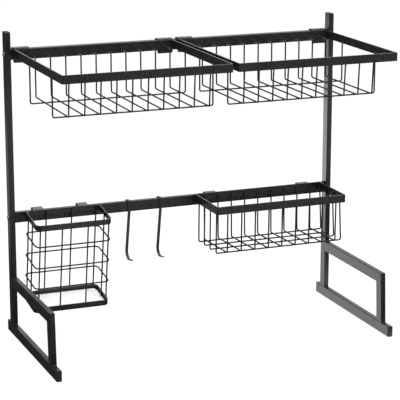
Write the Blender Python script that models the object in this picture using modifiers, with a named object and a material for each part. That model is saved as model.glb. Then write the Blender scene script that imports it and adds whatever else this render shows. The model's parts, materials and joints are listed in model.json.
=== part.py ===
# A rack that stands astride a kitchen sink: two upper racks, a basket, a cutlery basket and
# two utensil hooks hang by folded hooks on two crossbars between a pair of side frames.
# Lengths are in metres, +Z is up, the front faces -Y and the floor is at z = 0.
import math

import bmesh
import bpy
from mathutils import Matrix, Vector

# Flat rectangular tube of the frame
FRAME_WIDTH = 0.650
FRAME_HEIGHT = 0.566
TUBE_THIN = 0.010
TUBE_WIDE = 0.020
TUBE_WALL = 0.0012
TUBE_CORNER = 0.0015

# Side frames, measured forward from the rear faces of the uprights
FOOT_TAIL = 0.017
FOOT_REACH = 0.289
ARM_TOP = 0.1135
POST_SETBACK = 0.0275
POST_LEAN_BACK = 0.006

# Crossbars: how far the upper one's top lies below the frame's top, and the height of the lower one's top
UPPER_BAR_DROP = 0.031
LOWER_BAR_TOP = 0.2335

# Clearances
SEAT = 0.0003
PLUG_CLEARANCE = 0.0003
HOOK_CLEARANCE = 0.0005

# Plastic caps and threaded plugs in the tube ends
CAP_HEAD = 0.0020
CAP_PLUG = 0.0090
CAP_EDGE = 0.0006
INSERT_LENGTH = 0.014

# Domed screws
SCREW_HEAD_RADIUS = 0.0048
SCREW_HEAD_HEIGHT = 0.0026
SCREW_HEAD_EDGE = 0.0006
SCREW_SHANK_RADIUS = 0.0025
SCREW_LENGTH = 0.021
SCREW_SOCKET_RADIUS = 0.0017
SCREW_SOCKET_DEPTH = 0.0014
SCREW_STEPS = 16
DOME_STEPS = 4

# Flat bar and wire of the racks and baskets
RIM_HEIGHT = 0.015
RIM_THICKNESS = 0.003
RIM_CORNER = 0.002
WIRE_RADIUS = 0.0014
WELD_DEPTH = 0.0008
WIRE_BEND = 0.0035
WIRE_END_SETBACK = 0.001

# Folded sheet hooks
SHEET = 0.002
FOLD_RADIUS = 0.0016
LIP_DROP = 0.011
PLATE_CORNER = 0.003

# Upper racks, which share the width between the uprights; their cages sit a little to one side of them
RACK_SIDE_GAP = 0.005
RACK_GAP = 0.010
RACK_FRONT_REACH = 0.305
RACK_CAGE_DROP = 0.0842
RACK_WIRE_COUNT = 10
RACK_WIRE_INSETS = (0.0235, 0.0125)
RACK_WIRE_LIFT = 0.003
RACK_TOP_BEND = 0.002
RACK_REAR_WIRE_SETBACK = 0.0364
RACK_FRONT_WIRE_SETBACK = 0.060
RACK_FRONT_WIRE_FLARE = 0.005
RACK_TIE_SHARES = (0.233, 0.922)
LEFT_RACK_TIE_INSETS = (0.006, 0.007)
RIGHT_RACK_TIE_INSETS = (0.011, 0.0058)
RACK_HOOK_WIDTH = 0.030
RACK_HOOK_DROP = 0.0265

# Lower basket, whose length wires run a little askew
BASKET_SIDE_GAP = 0.013
BASKET_WIDTH = 0.264
BASKET_FRONT_REACH = 0.131
BASKET_RIM_RISE = 0.003
BASKET_CAGE_DROP = 0.0887
BASKET_WIRE_COUNT = 9
BASKET_WIRE_INSETS = (0.0235, 0.018)
BASKET_WIRE_TOP_DROP = 0.005
BASKET_WIRE_SKEW = 0.005
BASKET_WIRE_FLARE = 0.002
BASKET_TIE_SHARES = (0.05, 0.33, 0.61, 0.91)
BASKET_TIE_CLEARANCE = 0.0009
BASKET_TIE_BULGES = (0.001, 0.004)
BASKET_HOOK_INSET = 0.023
BASKET_HOOK_WIDTH = 0.023
BASKET_HOOK_DROP = 0.0135

# Cutlery basket, which hangs at a lean with its foot further back than its rim
CUTLERY_LEFT = 0.029
CUTLERY_WIDTH = 0.144
CUTLERY_DEPTH = 0.073
CUTLERY_HEIGHT = 0.1746
CUTLERY_LEAN = math.radians(8.8)
CUTLERY_STANDOFF = 0.0035
CUTLERY_RISE = 0.0016
CUTLERY_CORNER = 0.010
CUTLERY_RIM_HEIGHT = 0.0105
CUTLERY_BAND_HEIGHT = 0.0108
CUTLERY_BAR = 0.002
CUTLERY_WELD_DEPTH = 0.0003
CUTLERY_RING_SHARES = (0.246, 0.487, 0.722)
CUTLERY_FRONT_WIRE_SHARES = (0.059, 0.347, 0.688)
CUTLERY_REAR_WIRE_SHARES = (0.274, 0.615, 0.941)
CUTLERY_LEFT_WIRE_SHARES = (0.089, 0.5)
CUTLERY_RIGHT_WIRE_SHARES = (0.5, 0.911)
CUTLERY_HOOK_SHARES = (0.18, 0.778)
CUTLERY_HOOK_WIDTH = 0.020
CUTLERY_HOOK_DROP = 0.0075
CUTLERY_HOOK_SHEET = 0.0015
CUTLERY_HOOK_PLAY = 0.0055
TRAY_WALL = 0.0012
TRAY_HEIGHT = 0.0032
TRAY_LIFT = 0.0012

# Utensil hooks, bent from narrow strip, in the space between the cutlery basket and the lower basket
HOOK_PLACE_SHARES = (0.308, 0.638)
HOOK_STRIP_WIDTH = 0.0055
HOOK_STRIP = 0.0018
HOOK_SHANK_LEAN = math.radians(11.5)
HOOK_DROP = 0.1175
HOOK_TIP_REACH = 0.035
HOOK_TIP_RISE = 0.0065
HOOK_BEND = 0.014
HOOK_FOLD = 0.0018

# Smoothness
CORNER_STEPS = 2
CUTLERY_CORNER_STEPS = 3
BEND_STEPS = 2
HOOK_BEND_STEPS = 4
WIRE_SIDES_LEVEL = 1
CUT_OVERRUN = 0.004
EDGE_EASE = 0.0004
EASE_ANGLE = math.radians(60)
BEVEL_PROFILE = 0.5
MERGE_DISTANCE = 0.00001
SMOOTH_ANGLE = math.radians(40)

# Places that follow from the sizes above
DEPTH = FOOT_TAIL + RACK_FRONT_REACH
REAR = DEPTH / 2 - FOOT_TAIL
BAR_MIDDLE = TUBE_WIDE / 2
BAR_FRONT_REACH = BAR_MIDDLE + TUBE_THIN / 2
BAR_REAR_REACH = BAR_MIDDLE - TUBE_THIN / 2
RIM_BACK_REACH = BAR_FRONT_REACH + SEAT + SHEET + SEAT
LEFT = -FRAME_WIDTH / 2
POST_FOOT_REACH = FOOT_REACH - POST_SETBACK
POST_TOP_REACH = POST_FOOT_REACH - POST_LEAN_BACK
UPPER_BAR_TOP = FRAME_HEIGHT - UPPER_BAR_DROP
RACK_LEFT = TUBE_THIN + RACK_SIDE_GAP
RACK_WIDTH = (FRAME_WIDTH - 2 * RACK_LEFT - RACK_GAP) / 2
BASKET_LEFT = FRAME_WIDTH - TUBE_THIN - BASKET_SIDE_GAP - BASKET_WIDTH
CUTLERY_RIGHT = CUTLERY_LEFT + CUTLERY_WIDTH

# Powder coat and plastic of the parts: colour, roughness and metallic value
FINISHES = {
    "coat": ((0.018, 0.018, 0.019, 1), 0.55, 0.0),
    "cap": ((0.015, 0.015, 0.016, 1), 0.6, 0.0),
    "screw": ((0.03, 0.03, 0.032, 1), 0.4, 0.8),
    "zinc": ((0.55, 0.55, 0.57, 1), 0.45, 1.0),
    "tray": ((0.86, 0.87, 0.88, 1), 0.35, 0.0),
}


def clear_scene():
    for old in list(bpy.data.objects):
        bpy.data.objects.remove(old, do_unlink=True)


def new_collection(name):
    made = bpy.data.collections.new(name)
    bpy.context.scene.collection.children.link(made)
    return made


def finish(kind, name):
    colour, roughness, metallic = FINISHES[kind]
    made = bpy.data.materials.new(name)
    made.use_nodes = True
    shader = made.node_tree.nodes["Principled BSDF"]
    shader.inputs["Base Color"].default_value = colour
    shader.inputs["Roughness"].default_value = roughness
    shader.inputs["Metallic"].default_value = metallic
    made.diffuse_color = colour
    return made


# A point from its distance to the frame's left side, its reach forward of the rear and its height
def at(x_from_left, reach, z):
    return Vector((LEFT + x_from_left, REAR - reach, z))


def add_object(name, data, kind=None, parent=None):
    made = bpy.data.objects.new(name, data)
    (PARTS if kind else CUTTERS).objects.link(made)
    made.parent = parent
    if kind:
        data.materials.append(finish(kind, name))
        data.shade_smooth()
        data.set_sharp_from_angle(angle=SMOOTH_ANGLE)
    else:
        made.hide_render = True
        made.display_type = "WIRE"
    return made


def add_empty(name, location, lean=0):
    made = bpy.data.objects.new(name, None)
    PARTS.objects.link(made)
    made.location = location
    made.rotation_euler = (lean, 0, 0)
    return made


def boolean(target, operand, operation):
    step = target.modifiers.new(operation.lower(), "BOOLEAN")
    step.operation = operation
    step.solver = "EXACT"
    step.object = operand


def ease_edges(target, width=EDGE_EASE):
    step = target.modifiers.new("eased edges", "BEVEL")
    step.width = width
    step.segments = 1
    step.limit_method = "ANGLE"
    step.angle_limit = EASE_ANGLE


# The path through points, with an arc at each inner corner; a tuple gives one radius for each of them
def bend(points, radii, steps, closed=False):
    points = [Vector(p) for p in points]
    count = len(points)
    path = []
    for i, corner in enumerate(points):
        if not closed and i in (0, count - 1):
            path.append(corner)
            continue
        radius = radii[i - 1] if isinstance(radii, tuple) else radii
        back = (points[i - 1] - corner).normalized()
        on = (points[(i + 1) % count] - corner).normalized()
        half = back.angle(on) / 2
        reach = radius / math.tan(half)
        middle = corner + (back + on).normalized() * (radius / math.sin(half))
        first = corner + back * reach - middle
        last = corner + on * reach - middle
        turn = first.rotation_difference(last)
        axis, angle = turn.to_axis_angle()
        for k in range(steps + 1):
            path.append(middle + Matrix.Rotation(angle * k / steps, 3, axis) @ first)
    return path


# The outline of a rectangle with rounded corners, centred on zero
def rounded_box(width, height, radius, steps=CORNER_STEPS):
    x, y = width / 2, height / 2
    return bend([(-x, -y, 0), (x, -y, 0), (x, y, 0), (-x, y, 0)], radius, steps, closed=True)


def circle(radius, steps):
    turns = [math.tau * k / steps for k in range(steps)]
    return [Vector((radius * math.cos(t), radius * math.sin(t), 0)) for t in turns]


# The welded mesh of a curve object with the given splines
def curve_mesh(name, splines, dimensions, closed, setup):
    curve = bpy.data.curves.new(name + " curve", "CURVE")
    curve.dimensions = dimensions
    for points in splines:
        spline = curve.splines.new("POLY")
        spline.points.add(len(points) - 1)
        for slot, p in zip(spline.points, points):
            slot.co = (*p, 1)
        spline.use_cyclic_u = closed
    setup(curve)
    holder = bpy.data.objects.new(name + " curve", curve)
    CUTTERS.objects.link(holder)
    bpy.context.view_layer.update()
    evaluated = holder.evaluated_get(bpy.context.evaluated_depsgraph_get())
    mesh = bpy.data.meshes.new_from_object(evaluated)
    bpy.data.objects.remove(holder)
    work = bmesh.new()
    work.from_mesh(mesh)
    bmesh.ops.remove_doubles(work, verts=work.verts, dist=MERGE_DISTANCE)
    work.to_mesh(mesh)
    work.free()
    mesh.name = name
    return mesh


# A flat outline, with any holes, thickened along Z about zero
def slab_mesh(name, outlines, thickness):
    def setup(curve):
        curve.fill_mode = "BOTH"
        curve.extrude = thickness / 2

    return curve_mesh(name, outlines, "2D", True, setup)


def wire_mesh(name, paths, closed=False):
    def setup(curve):
        curve.bevel_depth = WIRE_RADIUS
        curve.bevel_resolution = WIRE_SIDES_LEVEL
        curve.use_fill_caps = True

    return curve_mesh(name, paths, "3D", closed, setup)


# Slides the vertices of one end of a slab along Z onto a slanted plane through the end's middle
def slide_end_to_plane(mesh, upper, normal):
    ends = [v for v in mesh.vertices if (v.co.z > 0) == upper]
    middle = ends[0].co.z
    for v in ends:
        v.co.z = middle - (normal.x * v.co.x + normal.y * v.co.y) / normal.z


# A hollow rectangular tube from start to end, its wide side along the vector wide
def tube(name, start, end, wide, start_normal=None, end_normal=None):
    along = end - start
    outer = rounded_box(TUBE_THIN, TUBE_WIDE, TUBE_CORNER)
    bore = rounded_box(TUBE_THIN - 2 * TUBE_WALL, TUBE_WIDE - 2 * TUBE_WALL, TUBE_CORNER - TUBE_WALL, 1)
    mesh = slab_mesh(name, [outer, bore], along.length)
    z = along.normalized()
    y = (wide - wide.dot(z) * z).normalized()
    turn = Matrix((y.cross(z), y, z)).transposed()
    for upper, normal in ((False, start_normal), (True, end_normal)):
        if normal:
            slide_end_to_plane(mesh, upper, turn.transposed() @ normal)
    made = add_object(name, mesh, "coat")
    made.location = (start + end) / 2
    made.rotation_euler = turn.to_euler()
    return made


# A plastic cap whose head covers a tube's end and whose plug fits inside it
def end_cap(name, mouth, outward, wide):
    inner_thin = TUBE_THIN - 2 * TUBE_WALL - 2 * PLUG_CLEARANCE
    inner_wide = TUBE_WIDE - 2 * TUBE_WALL - 2 * PLUG_CLEARANCE
    head = slab_mesh(name, [rounded_box(TUBE_THIN, TUBE_WIDE, TUBE_CORNER)], CAP_HEAD)
    work = bmesh.new()
    work.from_mesh(head)
    top_edges = [e for e in work.edges if all(v.co.z > 0 for v in e.verts)]
    outer_edges = [e for e in top_edges if e.calc_face_angle(0) > EASE_ANGLE]
    bmesh.ops.bevel(
        work, geom=outer_edges, offset=CAP_EDGE, segments=1, profile=BEVEL_PROFILE, affect="EDGES"
    )
    work.to_mesh(head)
    work.free()
    made = add_object(name, head, "cap")
    plug_length = CAP_PLUG + CAP_HEAD / 2
    plug = slab_mesh(name + " plug", [rounded_box(inner_thin, inner_wide, EDGE_EASE, 1)], plug_length)
    plug.transform(Matrix.Translation((0, 0, -plug_length / 2)))
    plug_object = add_object(name + " plug", plug)
    boolean(made, plug_object, "UNION")
    z = outward.normalized()
    turn = Matrix((wide.cross(z), wide, z)).transposed()
    for piece in (made, plug_object):
        piece.location = mouth + z * (SEAT + CAP_HEAD / 2)
        piece.rotation_euler = turn.to_euler()
    return made


# One foot bar, upright, arm and leaning front post, with their caps
def side_frame(side, x_middle):
    up = Vector((0, 0, 1))
    back = Vector((0, 1, 0))
    half = TUBE_WIDE / 2
    foot_ends = [at(x_middle, r, half) for r in (-FOOT_TAIL + CAP_HEAD + SEAT, FOOT_REACH - CAP_HEAD - SEAT)]
    tube(side + "_foot_bar", foot_ends[0], foot_ends[1], up)
    end_cap(side + "_foot_cap_rear", foot_ends[0], back, up)
    end_cap(side + "_foot_cap_front", foot_ends[1], -back, up)

    upright_top = at(x_middle, half, FRAME_HEIGHT - CAP_HEAD - SEAT)
    upright = tube(side + "_upright", at(x_middle, half, TUBE_WIDE + SEAT), upright_top, back)
    end_cap(side + "_upright_cap", upright_top, up, back)
    bore = circle(SCREW_SHANK_RADIUS + PLUG_CLEARANCE, SCREW_STEPS)
    for bar_top in (UPPER_BAR_TOP, LOWER_BAR_TOP):
        hole = slab_mesh("screw hole", [bore], TUBE_THIN + CUT_OVERRUN)
        cutter = add_object(side + " screw hole", hole)
        cutter.location = at(x_middle, half, bar_top - half)
        cutter.rotation_euler = (0, math.pi / 2, 0)
        boolean(upright, cutter, "DIFFERENCE")

    lean = math.atan2(POST_FOOT_REACH - POST_TOP_REACH, ARM_TOP - TUBE_WIDE)
    down = Vector((0, -math.sin(lean), -math.cos(lean)))
    corner_z = ARM_TOP - half
    corner_reach = POST_TOP_REACH + half * math.tan(lean) - half / math.cos(lean)
    corner = at(x_middle, corner_reach, corner_z)
    mitre = (back - down).normalized()
    shift = SEAT / 2 / mitre.dot(back)
    tube(side + "_arm", corner + back * shift, at(x_middle, TUBE_WIDE + SEAT, corner_z), up, mitre, None)
    foot_point = corner + down * ((corner_z - TUBE_WIDE - SEAT) / -down.z)
    tube(side + "_front_post", corner + down * shift, foot_point, back, mitre, up)


def crossbar(name, bar_top):
    middle = bar_top - TUBE_WIDE / 2
    ends = [at(x, BAR_MIDDLE, middle) for x in (TUBE_THIN + SEAT, FRAME_WIDTH - TUBE_THIN - SEAT)]
    tube(name, ends[0], ends[1], Vector((0, 0, 1)))
    for side, outward, end in (("left", -1, ends[0]), ("right", 1, ends[1])):
        threaded_insert(f"{name}_{side}_insert", end, outward)
        screw(f"{name}_{side}_screw", end, outward)


# The block in a crossbar's end that the screw draws up against the upright
def threaded_insert(name, mouth, outward):
    wide = TUBE_WIDE - 2 * TUBE_WALL - 2 * PLUG_CLEARANCE
    thin = TUBE_THIN - 2 * TUBE_WALL - 2 * PLUG_CLEARANCE
    block = rounded_box(wide, thin, EDGE_EASE, 1)
    bore = circle(SCREW_SHANK_RADIUS + PLUG_CLEARANCE, SCREW_STEPS)
    made = add_object(name, slab_mesh(name, [block, bore], INSERT_LENGTH), "zinc")
    made.location = mouth - Vector((outward * INSERT_LENGTH / 2, 0, 0))
    made.rotation_euler = (0, math.pi / 2, 0)


# A domed screw turned about Z, its head seated on the outside of the upright
def screw(name, bar_end, outward):
    head_base = 0
    rise = SCREW_HEAD_HEIGHT - SCREW_HEAD_EDGE
    dome = [math.pi / 2 * k / DOME_STEPS for k in range(DOME_STEPS + 1)]
    profile = [(SCREW_HEAD_RADIUS * math.sin(t), SCREW_HEAD_EDGE + rise * math.cos(t)) for t in dome]
    profile += [(SCREW_HEAD_RADIUS, head_base), (SCREW_SHANK_RADIUS, head_base)]
    profile += [(SCREW_SHANK_RADIUS, -SCREW_LENGTH), (0, -SCREW_LENGTH)]
    mesh = bpy.data.meshes.new(name)
    work = bmesh.new()
    verts = [work.verts.new((x, 0, z)) for x, z in profile]
    for a, b in zip(verts, verts[1:]):
        work.edges.new((a, b))
    work.to_mesh(mesh)
    work.free()
    made = add_object(name, mesh, "screw")
    turned = made.modifiers.new("turned", "SCREW")
    turned.axis = "Z"
    turned.angle = math.tau
    turned.steps = SCREW_STEPS
    turned.render_steps = SCREW_STEPS
    turned.use_merge_vertices = True
    turned.merge_threshold = MERGE_DISTANCE
    socket_depth = SCREW_SOCKET_DEPTH + CUT_OVERRUN
    socket = slab_mesh(name + " socket", [circle(SCREW_SOCKET_RADIUS, 6)], socket_depth)
    socket.transform(Matrix.Translation((0, 0, SCREW_HEAD_HEIGHT - SCREW_SOCKET_DEPTH + socket_depth / 2)))
    cutter = add_object(name + " socket", socket)
    boolean(made, cutter, "DIFFERENCE")
    for piece in (made, cutter):
        piece.location = bar_end + Vector((outward * (TUBE_THIN + 2 * SEAT), 0, 0))
        piece.rotation_euler = (0, outward * math.pi / 2, 0)


# Flat bar bent round into a rectangle and welded shut
def flat_bar_ring(name, parent, centre, width, depth, height, thickness, corner, steps=CORNER_STEPS):
    outer = rounded_box(width, depth, corner, steps)
    inner_corner = max(corner - thickness, EDGE_EASE)
    inner = rounded_box(width - 2 * thickness, depth - 2 * thickness, inner_corner, steps)
    made = add_object(name, slab_mesh(name, [outer, inner], height), "coat", parent)
    made.location = centre
    ease_edges(made)
    return made


# Sheet folded over a bar: front plate, top and rear lip, with rounded lower corners
# The sheet's middle plane lies at front, rear and top in the parent's frame
def folded_hook(name, parent, x_middle, front, rear, top, drops, width, sheet):
    front_drop, rear_drop = drops
    route = [(0, front, top - front_drop), (0, front, top), (0, rear, top), (0, rear, top - rear_drop)]
    path = bend(route, FOLD_RADIUS, CORNER_STEPS)
    made = strip(name, parent, path, width, sheet)
    made.location = (x_middle, 0, 0)
    tall = front_drop + sheet + CUT_OVERRUN
    mask_outline = rounded_box(width - MERGE_DISTANCE, tall, PLATE_CORNER)
    mask = slab_mesh(name + " mask", [mask_outline], rear - front + 2 * CUT_OVERRUN)
    cutter = add_object(name + " mask", mask, None, parent)
    cutter.location = (x_middle, (front + rear) / 2, top - front_drop + tall / 2)
    cutter.rotation_euler = (math.pi / 2, 0, 0)
    boolean(made, cutter, "INTERSECT")
    return made


# A strip of the given width along X that follows a path in the YZ plane
def strip(name, parent, path, width, thickness):
    mesh = bpy.data.meshes.new(name)
    work = bmesh.new()
    rows = [[work.verts.new((x, p.y, p.z)) for x in (-width / 2, width / 2)] for p in path]
    for a, b in zip(rows, rows[1:]):
        work.faces.new((a[0], a[1], b[1], b[0]))
    work.to_mesh(mesh)
    work.free()
    made = add_object(name, mesh, "coat", parent)
    thick = made.modifiers.new("sheet", "SOLIDIFY")
    thick.thickness = thickness
    thick.offset = 0
    thick.use_even_offset = True
    return made


# Two layers of bent wire welded where they cross
def wire_cage(name, parent, length_paths, tie_paths):
    made = add_object(name, wire_mesh(name, length_paths), "coat", parent)
    ties = add_object(name + " ties", wire_mesh(name + " ties", tie_paths), None, parent)
    boolean(made, ties, "UNION")
    return made


# Evenly spaced places from the first to the last
def evenly(first, last, count):
    return [first + (last - first) * k / (count - 1) for k in range(count)]


# One hanging rack: rim, two hooks that drop over the upper crossbar, and its wire cage
def upper_rack(side, x_left, tie_insets):
    rack = add_empty(side + "_rack", at(x_left + RACK_WIDTH / 2, BAR_MIDDLE, UPPER_BAR_TOP))

    def local(x_from_side, reach, rise):
        return Vector((x_from_side - RACK_WIDTH / 2, BAR_MIDDLE - reach, rise))

    rim_depth = RACK_FRONT_REACH - RIM_BACK_REACH
    rim_middle = local(RACK_WIDTH / 2, RIM_BACK_REACH + rim_depth / 2, -RIM_HEIGHT / 2)
    flat_bar_ring(
        side + "_rack_rim", rack, rim_middle, RACK_WIDTH, rim_depth, RIM_HEIGHT, RIM_THICKNESS, RIM_CORNER
    )
    front = -TUBE_THIN / 2 - SEAT - SHEET / 2
    rear = TUBE_THIN / 2 + HOOK_CLEARANCE + SHEET / 2
    for place, sign in (("left", -1), ("right", 1)):
        x = sign * (RACK_WIDTH - RACK_HOOK_WIDTH) / 2
        drops = (RACK_HOOK_DROP, LIP_DROP)
        folded_hook(
            f"{side}_rack_hook_{place}", rack, x, front, rear, SEAT + SHEET / 2, drops, RACK_HOOK_WIDTH, SHEET
        )
    bends = (RACK_TOP_BEND, WIRE_BEND, WIRE_BEND, RACK_TOP_BEND)
    run = RACK_WIRE_LIFT - RIM_HEIGHT
    floor = WIRE_RADIUS - RACK_CAGE_DROP
    rear_wire = RIM_BACK_REACH + RACK_REAR_WIRE_SETBACK
    front_wire = RACK_FRONT_REACH - RACK_FRONT_WIRE_SETBACK
    left_tie = tie_insets[0]
    right_tie = RACK_WIDTH - tie_insets[1]
    length_paths = []
    for x in evenly(left_tie + RACK_WIRE_INSETS[0], right_tie - RACK_WIRE_INSETS[1], RACK_WIRE_COUNT):
        route = [
            local(x, RIM_BACK_REACH + RIM_THICKNESS + SEAT, run),
            local(x, rear_wire, run),
            local(x, rear_wire, floor),
            local(x, front_wire, floor),
            local(x, front_wire + RACK_FRONT_WIRE_FLARE, run),
            local(x, RACK_FRONT_REACH - RIM_THICKNESS - SEAT, run),
        ]
        length_paths.append(bend(route, bends, BEND_STEPS))
    tie_floor = floor - 2 * WIRE_RADIUS + WELD_DEPTH
    tie_paths = []
    for share in RACK_TIE_SHARES:
        reach = rear_wire + (front_wire - rear_wire) * share
        route = [
            local(RIM_THICKNESS + SEAT, reach, run),
            local(left_tie, reach, run),
            local(left_tie, reach, tie_floor),
            local(right_tie, reach, tie_floor),
            local(right_tie, reach, run),
            local(RACK_WIDTH - RIM_THICKNESS - SEAT, reach, run),
        ]
        tie_paths.append(bend(route, bends, BEND_STEPS))
    wire_cage(side + "_rack_cage", rack, length_paths, tie_paths)


# The shallow basket that hooks over the lower crossbar, close to the right upright
def lower_basket():
    basket = add_empty("lower_basket", at(BASKET_LEFT + BASKET_WIDTH / 2, BAR_MIDDLE, LOWER_BAR_TOP))

    def local(x_from_side, reach, rise):
        return Vector((x_from_side - BASKET_WIDTH / 2, BAR_MIDDLE - reach, rise))

    rim_depth = BASKET_FRONT_REACH - RIM_BACK_REACH
    rim_middle = local(BASKET_WIDTH / 2, RIM_BACK_REACH + rim_depth / 2, BASKET_RIM_RISE - RIM_HEIGHT / 2)
    flat_bar_ring(
        "basket_rim", basket, rim_middle, BASKET_WIDTH, rim_depth, RIM_HEIGHT, RIM_THICKNESS, RIM_CORNER
    )
    front = -TUBE_THIN / 2 - SEAT - SHEET / 2
    rear = TUBE_THIN / 2 + HOOK_CLEARANCE + SHEET / 2
    for place, sign in (("left", -1), ("right", 1)):
        x = sign * (BASKET_WIDTH / 2 - BASKET_HOOK_INSET - BASKET_HOOK_WIDTH / 2)
        drops = (BASKET_HOOK_DROP, LIP_DROP)
        folded_hook(
            f"basket_hook_{place}", basket, x, front, rear, SEAT + SHEET / 2, drops, BASKET_HOOK_WIDTH, SHEET
        )
    inset = RIM_THICKNESS + SEAT + WIRE_RADIUS
    wire_top = BASKET_RIM_RISE - BASKET_WIRE_TOP_DROP
    floor = WIRE_RADIUS - BASKET_CAGE_DROP
    rear_top = RIM_BACK_REACH + inset
    front_top = BASKET_FRONT_REACH - inset
    rear_wire = rear_top + BASKET_WIRE_FLARE
    front_wire = front_top - BASKET_WIRE_FLARE
    length_paths = []
    for x in evenly(BASKET_WIRE_INSETS[0], BASKET_WIDTH - BASKET_WIRE_INSETS[1], BASKET_WIRE_COUNT):
        route = [
            local(x - BASKET_WIRE_SKEW, rear_top, wire_top),
            local(x - BASKET_WIRE_SKEW, rear_wire, floor),
            local(x, front_wire, floor),
            local(x, front_top, wire_top),
        ]
        length_paths.append(bend(route, WIRE_BEND, BEND_STEPS))
    tie_floor = floor - 2 * WIRE_RADIUS + WELD_DEPTH
    tie_top_inset = RIM_THICKNESS + BASKET_TIE_CLEARANCE + WIRE_RADIUS
    tie_paths = []
    for share in BASKET_TIE_SHARES:
        reach = rear_wire + (front_wire - rear_wire) * share
        route = [
            local(tie_top_inset, reach, wire_top),
            local(tie_top_inset - BASKET_TIE_BULGES[0], reach, tie_floor),
            local(BASKET_WIDTH - tie_top_inset + BASKET_TIE_BULGES[1], reach, tie_floor),
            local(BASKET_WIDTH - tie_top_inset, reach, wire_top),
        ]
        tie_paths.append(bend(route, WIRE_BEND, BEND_STEPS))
    wire_cage("basket_cage", basket, length_paths, tie_paths)


# How far a wire that stands near a rounded corner moves in from the straight side
def corner_bow(distance, side_length, inset):
    radius = CUTLERY_CORNER - inset
    past = CUTLERY_CORNER - min(distance, side_length - distance)
    return radius - math.sqrt(radius**2 - past**2) if past > 0 else 0


# Where the upright wires stand, from the basket's left side and from its back
def cutlery_wire_places(inset):
    places = []
    for share in CUTLERY_FRONT_WIRE_SHARES:
        x = share * CUTLERY_WIDTH
        places.append((x, CUTLERY_DEPTH - inset - corner_bow(x, CUTLERY_WIDTH, inset)))
    for share in CUTLERY_REAR_WIRE_SHARES:
        x = share * CUTLERY_WIDTH
        places.append((x, inset + corner_bow(x, CUTLERY_WIDTH, inset)))
    for share in CUTLERY_LEFT_WIRE_SHARES:
        y = share * CUTLERY_DEPTH
        places.append((inset + corner_bow(y, CUTLERY_DEPTH, inset), y))
    for share in CUTLERY_RIGHT_WIRE_SHARES:
        y = share * CUTLERY_DEPTH
        places.append((CUTLERY_WIDTH - inset - corner_bow(y, CUTLERY_DEPTH, inset), y))
    return places


# The tall cutlery basket, which leans about the top of its back on two hooks
def cutlery_basket():
    back_reach = BAR_FRONT_REACH + CUTLERY_STANDOFF
    pivot = at(CUTLERY_LEFT + CUTLERY_WIDTH / 2, back_reach, LOWER_BAR_TOP + CUTLERY_RISE)
    basket = add_empty("cutlery_basket", pivot, CUTLERY_LEAN)
    half_depth = CUTLERY_DEPTH / 2
    bands = (
        ("cutlery_rim", -CUTLERY_RIM_HEIGHT / 2, CUTLERY_RIM_HEIGHT),
        ("cutlery_bottom_band", CUTLERY_BAND_HEIGHT / 2 - CUTLERY_HEIGHT, CUTLERY_BAND_HEIGHT),
    )
    for name, z, height in bands:
        flat_bar_ring(
            name,
            basket,
            (0, -half_depth, z),
            CUTLERY_WIDTH,
            CUTLERY_DEPTH,
            height,
            CUTLERY_BAR,
            CUTLERY_CORNER,
            CUTLERY_CORNER_STEPS,
        )
    inset = CUTLERY_BAR + SEAT + WIRE_RADIUS
    uprights = []
    for x, back in cutlery_wire_places(inset):
        place = (x - CUTLERY_WIDTH / 2, -back)
        foot = WIRE_END_SETBACK - CUTLERY_HEIGHT
        uprights.append([Vector((*place, -WIRE_END_SETBACK)), Vector((*place, foot))])
    ring_inset = inset - 2 * WIRE_RADIUS + CUTLERY_WELD_DEPTH
    ring_size = (CUTLERY_WIDTH - 2 * ring_inset, CUTLERY_DEPTH - 2 * ring_inset)
    outline = rounded_box(*ring_size, CUTLERY_CORNER - ring_inset, CUTLERY_CORNER_STEPS)
    rings = []
    for share in CUTLERY_RING_SHARES:
        rings.append([p + Vector((0, -half_depth, -share * CUTLERY_HEIGHT)) for p in outline])
    cage = add_object("cutlery_cage", wire_mesh("cutlery_cage", uprights), "coat", basket)
    ring_object = add_object("cutlery_cage rings", wire_mesh("cutlery rings", rings, True), None, basket)
    boolean(cage, ring_object, "UNION")
    for place, share in zip(("left", "right"), CUTLERY_HOOK_SHARES):
        x = share * CUTLERY_WIDTH - CUTLERY_WIDTH / 2
        front = SEAT + CUTLERY_HOOK_SHEET / 2
        rear = front + TUBE_THIN + CUTLERY_HOOK_PLAY
        top = -CUTLERY_HOOK_SHEET / 2
        folded_hook(
            f"cutlery_hook_{place}",
            basket,
            x,
            front,
            rear,
            top,
            (CUTLERY_HOOK_DROP, LIP_DROP),
            CUTLERY_HOOK_WIDTH,
            CUTLERY_HOOK_SHEET,
        )
    cutlery_tray(basket, inset + WIRE_RADIUS + SEAT, half_depth)


# A shallow plastic tray that closes the bottom of the cutlery basket
def cutlery_tray(basket, inset, half_depth):
    width = CUTLERY_WIDTH - 2 * inset
    depth = CUTLERY_DEPTH - 2 * inset
    corner = CUTLERY_CORNER - inset
    block = slab_mesh("cutlery_tray", [rounded_box(width, depth, corner)], TRAY_HEIGHT)
    tray = add_object("cutlery_tray", block, "tray", basket)
    inner = rounded_box(width - 2 * TRAY_WALL, depth - 2 * TRAY_WALL, corner - TRAY_WALL)
    hollow = slab_mesh("cutlery_tray hollow", [inner], TRAY_HEIGHT)
    cutter = add_object("cutlery_tray hollow", hollow, None, basket)
    boolean(tray, cutter, "DIFFERENCE")
    tray.location = (0, -half_depth, TRAY_LIFT + TRAY_HEIGHT / 2 - CUTLERY_HEIGHT)
    cutter.location = tray.location + Vector((0, 0, TRAY_WALL))


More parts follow.
